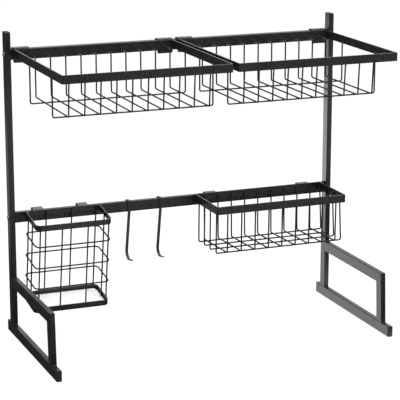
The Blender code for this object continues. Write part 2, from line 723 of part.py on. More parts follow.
# A strip folded over the lower crossbar, whose shank leans back and ends in an open J
def utensil_hook(name, centre):
    half = HOOK_STRIP / 2
    front = BAR_FRONT_REACH + SEAT + half
    rear = BAR_REAR_REACH - HOOK_CLEARANCE - half
    top = SEAT + half
    low_reach = front - math.tan(HOOK_SHANK_LEAN) * (HOOK_DROP - TUBE_WIDE)
    hook = add_empty(name + "_place", at(centre, BAR_MIDDLE, LOWER_BAR_TOP))

    def local(reach, rise):
        return Vector((0, BAR_MIDDLE - reach, rise))

    over_bar = bend(
        [local(rear, top - LIP_DROP), local(rear, top), local(front, top), local(front, -TUBE_WIDE)],
        HOOK_FOLD,
        CORNER_STEPS,
    )
    shank = bend(
        [
            local(front, -TUBE_WIDE),
            local(low_reach, half - HOOK_DROP),
            local(low_reach + HOOK_TIP_REACH, HOOK_TIP_RISE - HOOK_DROP),
        ],
        HOOK_BEND,
        HOOK_BEND_STEPS,
    )
    made = strip(name, hook, over_bar + shank[1:], HOOK_STRIP_WIDTH, HOOK_STRIP)
    ease_edges(made)


clear_scene()
PARTS = new_collection("sink_organizer")
CUTTERS = new_collection("cutters")

for frame_side, frame_x in (("left", TUBE_THIN / 2), ("right", FRAME_WIDTH - TUBE_THIN / 2)):
    side_frame(frame_side, frame_x)
crossbar("upper_crossbar", UPPER_BAR_TOP)
crossbar("lower_crossbar", LOWER_BAR_TOP)
upper_rack("left", RACK_LEFT, LEFT_RACK_TIE_INSETS)
upper_rack("right", RACK_LEFT + RACK_WIDTH + RACK_GAP, RIGHT_RACK_TIE_INSETS)
lower_basket()
cutlery_basket()
for number, place_share in enumerate(HOOK_PLACE_SHARES, start=1):
    hook_centre = CUTLERY_RIGHT + (BASKET_LEFT - CUTLERY_RIGHT) * place_share
    utensil_hook(f"utensil_hook_{number}", hook_centre)
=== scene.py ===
import json
import math
import random

import bmesh
import bpy
from mathutils import Matrix, Vector

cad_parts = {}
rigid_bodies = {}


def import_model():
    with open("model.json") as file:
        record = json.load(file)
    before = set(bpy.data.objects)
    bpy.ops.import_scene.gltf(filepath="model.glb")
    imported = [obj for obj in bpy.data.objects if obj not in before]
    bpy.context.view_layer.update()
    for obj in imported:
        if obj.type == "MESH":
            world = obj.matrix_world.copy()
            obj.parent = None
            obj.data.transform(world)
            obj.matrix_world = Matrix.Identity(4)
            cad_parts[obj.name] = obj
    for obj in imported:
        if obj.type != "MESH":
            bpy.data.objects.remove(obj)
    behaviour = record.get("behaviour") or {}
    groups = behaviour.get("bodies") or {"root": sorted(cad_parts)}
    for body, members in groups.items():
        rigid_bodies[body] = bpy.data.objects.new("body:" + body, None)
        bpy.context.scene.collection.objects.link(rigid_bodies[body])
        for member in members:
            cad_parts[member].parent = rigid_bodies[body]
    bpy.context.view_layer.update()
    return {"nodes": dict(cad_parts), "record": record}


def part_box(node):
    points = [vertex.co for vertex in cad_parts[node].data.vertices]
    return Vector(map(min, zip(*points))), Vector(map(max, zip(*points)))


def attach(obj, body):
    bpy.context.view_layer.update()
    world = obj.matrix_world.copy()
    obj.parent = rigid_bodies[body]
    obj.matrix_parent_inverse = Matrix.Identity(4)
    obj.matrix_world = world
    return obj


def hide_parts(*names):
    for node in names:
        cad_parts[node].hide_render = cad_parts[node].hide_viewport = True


# Looks for a black powder-coated rack that stands astride a sink.
# Everything is in metres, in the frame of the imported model: +X right, +Y back, +Z up.

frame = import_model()
nodes = frame["nodes"]
chance = random.Random(7)
print("frame loaded:", len(nodes), "nodes")


# camera and light

cameraView = {
    "place": (-1.12394, -2.78515, 1.02725),  # front left and a little above the racks
    "yaw": 21.95,  # degrees to the right of straight back
    "pitch": 14.37,  # degrees down
    "roll": 0.03,
    "focalPixels": 1700,  # in the 400 pixel wide photograph
    "framePixels": 400,
    "sensor": 36.0,
}


def makeCamera(view):
    yaw, pitch, roll = (math.radians(view[k]) for k in ("yaw", "pitch", "roll"))
    forward = Vector((math.sin(yaw) * math.cos(pitch), math.cos(yaw) * math.cos(pitch), -math.sin(pitch)))
    level = Vector((math.cos(yaw), -math.sin(yaw), 0))
    upright = level.cross(forward)
    right = level * math.cos(roll) + upright * math.sin(roll)
    up = right.cross(forward)
    data = bpy.data.cameras.new("camera")
    data.sensor_width = view["sensor"]
    data.lens = view["focalPixels"] / view["framePixels"] * view["sensor"]
    camera = bpy.data.objects.new("camera", data)
    bpy.context.scene.collection.objects.link(camera)
    turn = Matrix((right, up, -forward)).transposed()
    camera.matrix_world = Matrix.Translation(view["place"]) @ turn.to_4x4()
    bpy.context.scene.camera = camera


lampSet = {
    "left": {"place": (-2.4, 0.4, 1.5), "aim": (0, 0, 0.3), "size": (1.8, 2.2), "power": 15},
    "top": {"place": (0.1, -0.2, 2.6), "aim": (0, 0, 0.2), "size": (2.4, 2.0), "power": 62},
    "front": {"place": (1.2, -2.6, 1.6), "aim": (0, 0, 0.3), "size": (1.6, 1.6), "power": 15},
    "side": {"place": (-0.35, 1.18, 0.0006), "aim": (-0.35, 1.18, 1), "size": (1.5, 2.69), "power": 19},
    "sideFar": {"place": (-0.75, 2.3, 0.0008), "aim": (-0.75, 2.3, 1), "size": (1.7, 2.9), "power": 20},
}
sideLit = bpy.data.collections.new("sideLit")  # the two side lamps light only what is in it


def makeLamps(lamps):
    for name, lamp in lamps.items():
        data = bpy.data.lights.new(name + "Lamp", "AREA")
        data.shape = "RECTANGLE"
        data.size, data.size_y = lamp["size"]
        data.energy = lamp["power"]
        holder = bpy.data.objects.new(name + "Lamp", data)
        holder.location = lamp["place"]
        towards = Vector(lamp["aim"]) - Vector(lamp["place"])
        holder.rotation_euler = towards.to_track_quat("-Z", "Y").to_euler()
        holder.visible_camera = False
        bpy.context.scene.collection.objects.link(holder)
        if name.startswith("side"):
            holder.light_linking.receiver_collection = sideLit


def addNode(tree, kind, **values):
    node = tree.nodes.new(kind)
    for key, value in values.items():
        if hasattr(node, key):
            setattr(node, key, value)
        else:
            node.inputs[key].default_value = value
    return node


def mathNode(tree, operation, first, second=None):
    node = addNode(tree, "ShaderNodeMath", operation=operation)
    for slot, value in zip(node.inputs, (first, second)):
        if hasattr(value, "links"):
            tree.links.new(value, slot)
        elif value is not None:
            slot.default_value = value
    return node.outputs[0]


def remap(tree, source, fromRange, toRange, smooth=False):
    node = addNode(tree, "ShaderNodeMapRange")
    node.interpolation_type = "SMOOTHSTEP" if smooth else "LINEAR"
    node.inputs["From Min"].default_value, node.inputs["From Max"].default_value = fromRange
    node.inputs["To Min"].default_value, node.inputs["To Max"].default_value = toRange
    tree.links.new(source, node.inputs["Value"])
    return node.outputs["Result"]


# One between the two inner edges, fading to nothing at the outer two.
def band(tree, source, edges):
    begin, full, fade, end = edges
    rise = remap(tree, source, (begin, full), (0.0, 1.0), True)
    fall = remap(tree, source, (fade, end), (1.0, 0.0), True)
    return mathNode(tree, "MULTIPLY", rise, fall)


# White to the eye. Reflections see a low glow and a band high up, both strongest at the right rear.
surround = {
    "white": (1, 1, 1, 1),
    "room": (0.68, 0.68, 0.69, 1),
    "glowTop": (0.13, 0.34),  # heights are sines of the angle above the horizon
    "glow": (1.5, 0.14),  # below and above those heights
    "highBand": (0.36, 0.42, 0.70, 0.85),
    "highGlow": 1.9,
    "backFrom": (-0.1, 0.5),  # from the front half of the room to the back half
    "frontShare": 0.12,
    "rightFrom": (-0.18, 0.12),  # from the left half of the room to the right half
    "leftShare": 0.12,
}


def makeWorld(look):
    world = bpy.data.worlds.new("studio")
    bpy.context.scene.world = world
    world.use_nodes = True
    tree = world.node_tree
    tree.nodes.clear()
    path = tree.nodes.new("ShaderNodeLightPath")
    towards = tree.nodes.new("ShaderNodeSeparateXYZ")
    tree.links.new(tree.nodes.new("ShaderNodeTexCoord").outputs["Generated"], towards.inputs[0])
    low = remap(tree, towards.outputs["Z"], look["glowTop"], look["glow"], True)
    high = mathNode(tree, "MULTIPLY", band(tree, towards.outputs["Z"], look["highBand"]), look["highGlow"])
    behind = remap(tree, towards.outputs["Y"], look["backFrom"], (look["frontShare"], 1.0), True)
    right = remap(tree, towards.outputs["X"], look["rightFrom"], (look["leftShare"], 1.0), True)
    glow = mathNode(tree, "ADD", low, high)
    glow = mathNode(tree, "MULTIPLY", mathNode(tree, "MULTIPLY", glow, behind), right)
    seen = mathNode(tree, "MAXIMUM", path.outputs["Is Camera Ray"], path.outputs["Is Transmission Ray"])
    mirrored = mathNode(tree, "MULTIPLY", path.outputs["Is Glossy Ray"], glow)
    room = addNode(tree, "ShaderNodeBackground", Color=look["room"])
    shine = addNode(tree, "ShaderNodeBackground", Color=look["white"])
    white = addNode(tree, "ShaderNodeBackground", Color=look["white"])
    tree.links.new(mirrored, shine.inputs["Strength"])
    glossy = tree.nodes.new("ShaderNodeMixShader")
    mix = tree.nodes.new("ShaderNodeMixShader")
    out = tree.nodes.new("ShaderNodeOutputWorld")
    tree.links.new(path.outputs["Is Glossy Ray"], glossy.inputs[0])
    tree.links.new(room.outputs[0], glossy.inputs[1])
    tree.links.new(shine.outputs[0], glossy.inputs[2])
    tree.links.new(seen, mix.inputs[0])
    tree.links.new(glossy.outputs[0], mix.inputs[1])
    tree.links.new(white.outputs[0], mix.inputs[2])
    tree.links.new(mix.outputs[0], out.inputs["Surface"])


wholeFloor = (-9, -8, 8, 9)
floorLook = {
    "size": 14.0,
    "drop": 0.0004,
    "colour": (0.84, 0.84, 0.84, 1),
    "seen": (0.16, 0.16, 0.16, 1),  # where the camera looks, the paper glows white and takes a faint shadow
    "lift": 0.90,
    "sheen": 0.06,  # brightness in reflections
    "reflectionGlows": {  # bands of painted glow lie on it, seen only in reflections
        "front": {"x": wholeFloor, "y": (-2.3, -1.7, -1.0, -0.6), "strength": 1.45},
        "rear": {"x": wholeFloor, "y": (0.5, 0.95, 1.8, 2.2), "strength": 0.34},
        "under": {"x": (-0.26, -0.16, 0.12, 0.22), "y": (-0.42, -0.32, -0.06, 0.04), "strength": 0.9},
    },
}


def makeFloor(look):
    shape = bmesh.new()
    bmesh.ops.create_grid(shape, x_segments=1, y_segments=1, size=look["size"] / 2)
    bmesh.ops.translate(shape, verts=shape.verts, vec=(0, 0, -look["drop"]))
    mesh = bpy.data.meshes.new("floor")
    shape.to_mesh(mesh)
    shape.free()
    floor = bpy.data.objects.new("floor", mesh)
    bpy.context.scene.collection.objects.link(floor)
    paint = bpy.data.materials.new("floorPaint")
    paint.use_nodes = True
    tree = paint.node_tree
    tree.nodes.clear()
    path = tree.nodes.new("ShaderNodeLightPath")
    place = tree.nodes.new("ShaderNodeSeparateXYZ")
    tree.links.new(tree.nodes.new("ShaderNodeTexCoord").outputs["Object"], place.inputs[0])
    glow = look["sheen"]
    # Each band makes the floor glow for reflected rays alone, a painted reflection on the coat.
    for card in look["reflectionGlows"].values():
        across = band(tree, place.outputs["X"], card["x"])
        along = mathNode(tree, "MULTIPLY", band(tree, place.outputs["Y"], card["y"]), card["strength"])
        glow = mathNode(tree, "ADD", mathNode(tree, "MULTIPLY", across, along), glow)
    paper = addNode(tree, "ShaderNodeMix", data_type="RGBA")
    tree.links.new(path.outputs["Is Camera Ray"], paper.inputs["Factor"])
    paper.inputs["A"].default_value = look["colour"]
    paper.inputs["B"].default_value = look["seen"]
    matt = tree.nodes.new("ShaderNodeBsdfDiffuse")
    tree.links.new(paper.outputs["Result"], matt.inputs["Color"])
    lift = tree.nodes.new("ShaderNodeEmission")
    lifted = mathNode(tree, "MULTIPLY", path.outputs["Is Camera Ray"], look["lift"])
    tree.links.new(lifted, lift.inputs["Strength"])
    sheen = tree.nodes.new("ShaderNodeEmission")
    tree.links.new(glow, sheen.inputs["Strength"])
    both = tree.nodes.new("ShaderNodeAddShader")
    mix = tree.nodes.new("ShaderNodeMixShader")
    out = tree.nodes.new("ShaderNodeOutputMaterial")
    tree.links.new(matt.outputs[0], both.inputs[0])
    tree.links.new(lift.outputs[0], both.inputs[1])
    tree.links.new(path.outputs["Is Glossy Ray"], mix.inputs[0])
    tree.links.new(both.outputs[0], mix.inputs[1])
    tree.links.new(sheen.outputs[0], mix.inputs[2])
    tree.links.new(mix.outputs[0], out.inputs["Surface"])
    mesh.materials.append(paint)


makeCamera(cameraView)
makeLamps(lampSet)
makeWorld(surround)
makeFloor(floorLook)
bpy.context.scene.view_settings.view_transform = "Standard"
print("camera, lamps and floor made")


# materials

noiseSpread = (0.3, 0.7)  # most of a noise's values lie between these


def ramp(tree, source, stops):
    node = tree.nodes.new("ShaderNodeValToRGB")
    for element, (place, colour) in zip(node.color_ramp.elements, stops):
        element.position = place
        element.color = colour
    tree.links.new(source, node.inputs["Fac"])
    return node.outputs["Color"]


def noise(tree, scale, detail=2.0, roughness=0.5):
    node = addNode(tree, "ShaderNodeTexNoise", Scale=scale, Detail=detail, Roughness=roughness)
    tree.links.new(tree.nodes["place"].outputs["Object"], node.inputs["Vector"])
    return node.outputs["Fac"]


def startMaterial(name):
    paint = bpy.data.materials.new(name)
    paint.use_nodes = True
    addNode(paint.node_tree, "ShaderNodeTexCoord").name = "place"
    return paint, paint.node_tree, paint.node_tree.nodes["Principled BSDF"]


edgeCosines = (0.995, 0.86)  # between the true and the rounded normal, off an edge and on it


# Rounds hard edges in the shading, and gives how much each point lies on an edge.
def softEdges(tree, radius):
    rounded = addNode(tree, "ShaderNodeBevel", samples=4, Radius=radius)
    true = tree.nodes.new("ShaderNodeNewGeometry")
    facing = addNode(tree, "ShaderNodeVectorMath", operation="DOT_PRODUCT")
    tree.links.new(rounded.outputs["Normal"], facing.inputs[0])
    tree.links.new(true.outputs["Normal"], facing.inputs[1])
    return rounded.outputs["Normal"], remap(tree, facing.outputs["Value"], edgeCosines, (0.0, 1.0))


def bump(tree, height, distance, strength, normal):
    node = addNode(tree, "ShaderNodeBump", Distance=distance, Strength=strength)
    tree.links.new(height, node.inputs["Height"])
    tree.links.new(normal, node.inputs["Normal"])
    return node.outputs["Normal"]


powderCoat = {
    "deep": (0.0058, 0.0058, 0.0061, 1),
    "pale": (0.0092, 0.0092, 0.0096, 1),
    "edge": (0.0300, 0.0300, 0.0300, 1),  # thinner coat on the edges, and a painted highlight along them
    "edgeShare": (0.15, 0.75),
    "cloudSpread": (0.36, 0.66),
    "roughness": (0.22, 0.38),
    "fleckScale": 330.0,  # the coat sparkles unevenly, in flecks of 3 mm
    "fleckSpread": (0.36, 0.64),
    "specular": (0.41, 0.58),
    "peelScale": 420.0,  # the fine texture of a cured coat, about 2 mm
    "grainScale": 3800.0,
    "cloudScale": 14.0,
    "peelDepth": 0.00012,
    "peelStrength": 0.7,
    "grainDepth": 0.000012,
    "grainStrength": 0.6,
    "edgeRadius": 0.0005,
}


def coatMaterial(name, look):
    paint, tree, shader = startMaterial(name)
    cloud = noise(tree, look["cloudScale"], detail=3.0, roughness=0.55)
    peel = noise(tree, look["peelScale"])
    grain = noise(tree, look["grainScale"], detail=1.0)
    normal, edge = softEdges(tree, look["edgeRadius"])
    # Lighter colour on the edges: partly wear of the thinner coat there, partly a painted highlight.
    wornAndLitEdges = mathNode(tree, "MULTIPLY", edge, remap(tree, cloud, noiseSpread, look["edgeShare"]))
    base = ramp(tree, cloud, zip(look["cloudSpread"], (look["deep"], look["pale"])))
    mix = addNode(tree, "ShaderNodeMix", data_type="RGBA")
    tree.links.new(wornAndLitEdges, mix.inputs["Factor"])
    tree.links.new(base, mix.inputs["A"])
    mix.inputs["B"].default_value = look["edge"]
    tree.links.new(mix.outputs["Result"], shader.inputs["Base Color"])
    tree.links.new(remap(tree, peel, noiseSpread, look["roughness"]), shader.inputs["Roughness"])
    fleck = noise(tree, look["fleckScale"], roughness=0.6)
    shine = remap(tree, fleck, look["fleckSpread"], look["specular"])
    tree.links.new(shine, shader.inputs["Specular IOR Level"])
    normal = bump(tree, grain, look["grainDepth"], look["grainStrength"], normal)
    normal = bump(tree, peel, look["peelDepth"], look["peelStrength"], normal)
    tree.links.new(normal, shader.inputs["Normal"])
    return paint


mouldedPlastic = {
    "deep": (0.0100, 0.0100, 0.0104, 1),
    "pale": (0.0165, 0.0165, 0.0170, 1),
    "roughness": (0.50, 0.62),
    "specular": 0.4,
    "sparkScale": 1600.0,  # a fine spark-eroded grain
    "cloudScale": 60.0,
    "cloudSpread": (0.35, 0.65),
    "grainDepth": 0.00002,
    "grainStrength": 0.6,
    "edgeRadius": 0.0004,
}

palePlastic = {
    "deep": (0.900, 0.905, 0.910, 1),
    "pale": (0.940, 0.942, 0.945, 1),
    "roughness": (0.30, 0.42),
    "specular": 0.5,
    "sparkScale": 900.0,
    "cloudScale": 25.0,
    "cloudSpread": (0.35, 0.65),
    "grainDepth": 0.00001,
    "grainStrength": 0.6,
    "edgeRadius": 0.0004,
}


def plasticMaterial(name, look):
    paint, tree, shader = startMaterial(name)
    cloud = noise(tree, look["cloudScale"], detail=3.0)
    spark = noise(tree, look["sparkScale"])
    base = ramp(tree, cloud, zip(look["cloudSpread"], (look["deep"], look["pale"])))
    tree.links.new(base, shader.inputs["Base Color"])
    tree.links.new(remap(tree, spark, noiseSpread, look["roughness"]), shader.inputs["Roughness"])
    shader.inputs["Specular IOR Level"].default_value = look["specular"]
    normal = softEdges(tree, look["edgeRadius"])[0]
    normal = bump(tree, spark, look["grainDepth"], look["grainStrength"], normal)
    tree.links.new(normal, shader.inputs["Normal"])
    return paint


screwSteel = {
    "deep": (0.18, 0.18, 0.185, 1),
    "pale": (0.34, 0.34, 0.345, 1),
    "roughness": (0.26, 0.40),
    "metallic": 0.85,
    "brushScale": (2600.0, 2600.0, 300.0),
    "cloudScale": 180.0,
    "scratchDepth": 0.000006,
    "scratchStrength": 0.5,
}

platedSteel = {
    "deep": (0.42, 0.42, 0.44, 1),
    "pale": (0.60, 0.60, 0.61, 1),
    "roughness": (0.32, 0.46),
    "metallic": 1.0,
    "brushScale": (400.0, 2600.0, 2600.0),
    "cloudScale": 120.0,
    "scratchDepth": 0.000006,
    "scratchStrength": 0.5,
}


def steelMaterial(name, look):
    paint, tree, shader = startMaterial(name)
    cloud = noise(tree, look["cloudScale"], detail=3.0)
    stretch = addNode(tree, "ShaderNodeMapping", Scale=look["brushScale"])
    tree.links.new(tree.nodes["place"].outputs["Object"], stretch.inputs["Vector"])
    brushed = addNode(tree, "ShaderNodeTexNoise", Scale=1.0, Detail=2.0)
    tree.links.new(stretch.outputs["Vector"], brushed.inputs["Vector"])
    base = ramp(tree, cloud, zip(noiseSpread, (look["deep"], look["pale"])))
    tree.links.new(base, shader.inputs["Base Color"])
    scratches = brushed.outputs["Fac"]
    tree.links.new(remap(tree, scratches, noiseSpread, look["roughness"]), shader.inputs["Roughness"])
    shader.inputs["Metallic"].default_value = look["metallic"]
    normal = tree.nodes.new("ShaderNodeNewGeometry").outputs["Normal"]
    normal = bump(tree, scratches, look["scratchDepth"], look["scratchStrength"], normal)
    tree.links.new(normal, shader.inputs["Normal"])
    return paint


finishes = {
    "coat": coatMaterial("powderCoat", powderCoat),
    "cap": plasticMaterial("mouldedPlastic", mouldedPlastic),
    "tray": plasticMaterial("palePlastic", palePlastic),
    "screw": steelMaterial("screwSteel", screwSteel),
    "zinc": steelMaterial("platedSteel", platedSteel),
}
for entry in frame["record"]["subparts"]:
    node = nodes[entry["node"]]
    node.data.materials.clear()
    node.data.materials.append(finishes[entry["material_slot"]])
print("materials made:", ", ".join(finishes))


# shared shaping tools

samePlace = 0.00001  # what lies closer than this is one place


def dress(piece, finish, body, *replaced):
    piece.data.materials.clear()
    piece.data.materials.append(finishes[finish])
    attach(piece, body)
    if replaced:
        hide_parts(*replaced)
    return piece


def meshPiece(name, shape, smoothAngle=35):
    bmesh.ops.recalc_face_normals(shape, faces=shape.faces)
    mesh = bpy.data.meshes.new(name)
    shape.to_mesh(mesh)
    shape.free()
    mesh.shade_smooth()
    mesh.set_sharp_from_angle(angle=math.radians(smoothAngle))
    piece = bpy.data.objects.new(name, mesh)
    bpy.context.scene.collection.objects.link(piece)
    return piece


# The path through points, with an arc of the given radius at each inner corner.
def bendPath(points, radii, steps):
    points = [Vector(p) for p in points]
    path = [points[0]]
    for before, corner, after, radius in zip(points, points[1:], points[2:], radii):
        back = (before - corner).normalized()
        on = (after - corner).normalized()
        half = back.angle(on) / 2
        middle = corner + (back + on).normalized() * (radius / math.sin(half))
        first = corner + back * (radius / math.tan(half)) - middle
        last = corner + on * (radius / math.tan(half)) - middle
        axis, angle = first.rotation_difference(last).to_axis_angle()
        path += [middle + Matrix.Rotation(angle * k / steps, 3, axis) @ first for k in range(steps + 1)]
    path.append(points[-1])
    return path


wire = {"radius": 0.00145, "roundness": 3, "bendSteps": 6, "sway": 0.0003}


# Bent wires drawn as round rods with capped ends. The paths numbered in closed are rings.
def wirePiece(name, paths, radius=wire["radius"], closed=(), radiusPlay=0.0):
    curve = bpy.data.curves.new(name, "CURVE")
    curve.dimensions = "3D"
    curve.bevel_depth = radius
    curve.bevel_resolution = wire["roundness"]
    curve.use_fill_caps = True
    for number, path in enumerate(paths):
        spline = curve.splines.new("POLY")
        spline.points.add(len(path) - 1)
        spline.use_cyclic_u = number in closed
        for point, place in zip(spline.points, path):
            point.co = (*place, 1)
            point.radius = 1 + chance.uniform(-radiusPlay, radiusPlay)
    holder = bpy.data.objects.new(name, curve)
    bpy.context.scene.collection.objects.link(holder)
    evaluated = holder.evaluated_get(bpy.context.evaluated_depsgraph_get())
    shape = bmesh.new()
    shape.from_mesh(evaluated.to_mesh())
    evaluated.to_mesh_clear()
    bpy.data.objects.remove(holder)
    bmesh.ops.remove_doubles(shape, verts=shape.verts, dist=samePlace)
    return meshPiece(name, shape)


def sway():
    return chance.uniform(-wire["sway"], wire["sway"])


def evenly(first, last, count):
    return [first + (last - first) * k / (count - 1) for k in range(count)]


weld = {"sizePlay": (0.85, 1.2), "roundness": 2, "smoothAngle": 80}


# Small flattened beads of weld metal, each a place and its three radii.
def weldBeads(name, beads, turn=Matrix.Identity(4)):
    shape = bmesh.new()
    for place, radii in beads:
        size = [r * chance.uniform(*weld["sizePlay"]) for r in radii]
        spin = Matrix.Rotation(chance.uniform(0, math.tau), 4, "Z")
        matrix = turn @ Matrix.Translation(place) @ Matrix.Diagonal((*size, 1)) @ spin
        bmesh.ops.create_icosphere(shape, subdivisions=weld["roundness"], radius=1, matrix=matrix)
    return meshPiece(name, shape, weld["smoothAngle"])


# A flat face with the outline of a rounded rectangle, at z = 0.
def roundedFace(shape, sizeX, sizeY, corner, steps):
    made = bmesh.ops.create_grid(shape, x_segments=1, y_segments=1, size=0.5)
    bmesh.ops.scale(shape, verts=made["verts"], vec=(sizeX, sizeY, 1))
    bmesh.ops.bevel(
        shape, geom=made["verts"], offset=corner, segments=steps, profile=0.5, affect="VERTICES", material=-1
    )


# A hollow bar along Z: the room between two rounded rectangles, from z = 0 up to its length.
def hollowBar(sizeX, sizeY, wall, corner, innerCorner, length, steps):
    shape = bmesh.new()
    loops = []
    for inset, radius in ((0, corner), (wall, innerCorner)):
        before = set(shape.edges)
        roundedFace(shape, sizeX - 2 * inset, sizeY - 2 * inset, radius, steps)
        loops.append([e for e in shape.edges if e not in before])
    bmesh.ops.delete(shape, geom=list(shape.faces), context="FACES_ONLY")
    bmesh.ops.bridge_loops(shape, edges=loops[0] + loops[1])
    top = bmesh.ops.extrude_face_region(shape, geom=list(shape.faces))
    raised = [g for g in top["geom"] if isinstance(g, bmesh.types.BMVert)]
    bmesh.ops.translate(shape, verts=raised, vec=(0, 0, length))
    return shape


easing = {"angle": 50, "flatWeight": 100}


# Eases the hard edges, and keeps the flats flat in the shading beside them.
def easeEdges(piece, width, segments=2):
    step = piece.modifiers.new("eased edges", "BEVEL")
    step.width = width
    step.segments = segments
    step.limit_method = "ANGLE"
    step.angle_limit = math.radians(easing["angle"])
    flats = piece.modifiers.new("flat flats", "WEIGHTED_NORMAL")
    flats.mode = "FACE_AREA"
    flats.weight = easing["flatWeight"]
    flats.keep_sharp = True


# side frames and crossbars

tubeLook = {
    "thin": 0.010,
    "wide": 0.020,
    "wall": 0.0012,
    "corner": 0.0015,
    "cornerSteps": 5,
    "edge": 0.0002,
    "seat": 0.0003,  # the bare joint's gap, which the weld closes
    "postSetback": 0.0275,
    "postLeanBack": 0.0060,
    "capHead": 0.0020,
    "capPlug": 0.0090,
    "capEdge": 0.0007,
    "capEdgeSteps": 4,
    "levelNormal": 0.9,  # least share of Z in the normal of a level face
    "plugPlay": 0.0003,
    "bead": 0.0011,
    "beadSteps": 9,
    "beadPlay": 0.22,
}
xAxis, yAxis, zAxis = Vector((1, 0, 0)), Vector((0, 1, 0)), Vector((0, 0, 1))


# A matrix that takes a bar drawn along Z to its place, thin side and wide side along the given axes.
def stand(foot, thin, wide):
    matrix = Matrix((thin, wide, thin.cross(wide))).transposed().to_4x4()
    return Matrix.Translation(foot) @ matrix


# Slides one end of a bar onto a slanted plane through the end's middle.
def slantEnd(shape, upper, normal, length):
    level = length if upper else 0
    for vert in shape.verts:
        if abs(vert.co.z - level) < length / 2:
            vert.co.z = level - (normal.x * vert.co.x + normal.y * vert.co.y) / normal.z


def tubePiece(name, node, start, end, thin, startNormal=None, endNormal=None):
    look = tubeLook
    along = (end - start).normalized()
    wide = along.cross(thin)
    length = (end - start).length
    innerCorner = look["corner"] - look["wall"]
    shape = hollowBar(
        look["thin"], look["wide"], look["wall"], look["corner"], innerCorner, length, look["cornerSteps"]
    )
    turn = Matrix((thin, wide, along))
    for upper, normal in ((False, startNormal), (True, endNormal)):
        if normal:
            slantEnd(shape, upper, turn @ normal, length)
    bmesh.ops.transform(shape, matrix=stand(start, thin, wide), verts=shape.verts)
    piece = meshPiece(name, shape)
    easeEdges(piece, look["edge"])
    return dress(piece, "coat", "frame", node)


def straightTube(name, node, thin, along, startReach=0):
    low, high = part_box(node)
    middle = (low + high) / 2
    half = abs((high - low).dot(along)) / 2
    start = middle - along * (half + startReach)
    end = middle + along * half
    tubePiece(name, node, start, end, thin)


# A moulded cap: a head with a rounded rim, and the plug that holds it in the tube.
def capPiece(name, node, outward):
    look = tubeLook
    low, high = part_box(node)
    outer = high if outward.dot(yAxis + zAxis) > 0 else low
    middle = (low + high) / 2
    foot = middle + outward * ((outer - middle).dot(outward) - look["capHead"])
    wide = outward.cross(xAxis)
    sizeX = high.x - low.x
    sizeY = abs((high - low).dot(wide))
    shape = bmesh.new()
    roundedFace(shape, sizeX, sizeY, look["corner"], look["cornerSteps"])
    base = list(shape.faces)
    top = bmesh.ops.extrude_face_region(shape, geom=base)
    raised = [g for g in top["geom"] if isinstance(g, bmesh.types.BMVert)]
    bmesh.ops.translate(shape, verts=raised, vec=(0, 0, look["capHead"]))
    rim = [e for e in shape.edges if all(v in raised for v in e.verts)]
    steps = look["capEdgeSteps"]
    bmesh.ops.bevel(
        shape, geom=rim, offset=look["capEdge"], segments=steps, profile=0.5, affect="EDGES", material=-1
    )
    shape.normal_update()
    level = [f for f in shape.faces if abs(f.normal.z) > look["levelNormal"]]
    under = [f for f in level if f.calc_center_median().z < samePlace]
    inset = look["wall"] + look["plugPlay"]
    bmesh.ops.inset_region(shape, faces=under, thickness=inset, use_even_offset=True)
    plug = bmesh.ops.extrude_face_region(shape, geom=under)
    lowered = [g for g in plug["geom"] if isinstance(g, bmesh.types.BMVert)]
    bmesh.ops.translate(shape, verts=lowered, vec=(0, 0, -look["capPlug"]))
    bmesh.ops.delete(shape, geom=under, context="FACES_ONLY")
    bmesh.ops.transform(shape, matrix=stand(foot, xAxis, wide), verts=shape.verts)
    dress(meshPiece(name, shape), "cap", "frame", node)


# A weld bead along a short straight joint.
def beadPath(start, end):
    steps = tubeLook["beadSteps"]
    return [start.lerp(end, k / steps) for k in range(steps + 1)]


def sideFrame(side):
    look = tubeLook
    footLow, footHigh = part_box(side + "_foot_bar")
    uprightLow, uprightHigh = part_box(side + "_upright")
    armLow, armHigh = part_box(side + "_arm")
    x = (footLow.x + footHigh.x) / 2
    half = (armHigh.z - armLow.z) / 2
    straightTube(side + "FootBar", side + "_foot_bar", xAxis, -yAxis)
    straightTube(side + "Upright", side + "_upright", xAxis, zAxis, look["seat"])
    capPiece(side + "UprightCap", side + "_upright_cap", zAxis)
    capPiece(side + "FootCapRear", side + "_foot_cap_rear", yAxis)
    capPiece(side + "FootCapFront", side + "_foot_cap_front", -yAxis)

    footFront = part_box(side + "_foot_cap_front")[0].y
    postFoot = footFront + look["postSetback"]
    lean = math.atan2(look["postLeanBack"], armHigh.z - footHigh.z)
    down = Vector((0, -math.sin(lean), -math.cos(lean)))
    postTop = postFoot + look["postLeanBack"]
    corner = Vector((x, postTop - half * math.tan(lean) + half / math.cos(lean), armHigh.z - half))
    mitre = (yAxis - down).normalized()
    armBack = Vector((x, uprightLow.y, corner.z))
    tubePiece(side + "Arm", side + "_arm", corner, armBack, xAxis, mitre, None)
    footPoint = corner + down * ((corner.z - footHigh.z) / -down.z)
    tubePiece(side + "FrontPost", side + "_front_post", corner, footPoint, xAxis, mitre, zAxis)

    reach = (footHigh.x - footLow.x) / 2 - look["corner"]
    lines = [(uprightLow.y, armHigh.z), (uprightLow.y, armLow.z), (uprightLow.y, footHigh.z)]
    lines += [(uprightHigh.y, footHigh.z), (postFoot, footHigh.z)]
    lines.append((postFoot + 2 * half / math.cos(lean), footHigh.z))
    paths = [beadPath(Vector((x - reach, y, z)), Vector((x + reach, y, z))) for y, z in lines]
    beads = wirePiece(side + "FrameWelds", paths, look["bead"], radiusPlay=look["beadPlay"])
    dress(beads, "coat", "frame")


for side in ("left", "right"):
    sideFrame(side)
for piece in list(bpy.context.scene.objects):  # of the drawn pieces, only the side frames exist so far
    if piece.name.startswith("right") and piece.name not in nodes:
        sideLit.objects.link(piece)
for tier in ("upper", "lower"):
    straightTube(tier + "Crossbar", tier + "_crossbar", yAxis, xAxis)
print("side frames and crossbars made")


# screws through the uprights

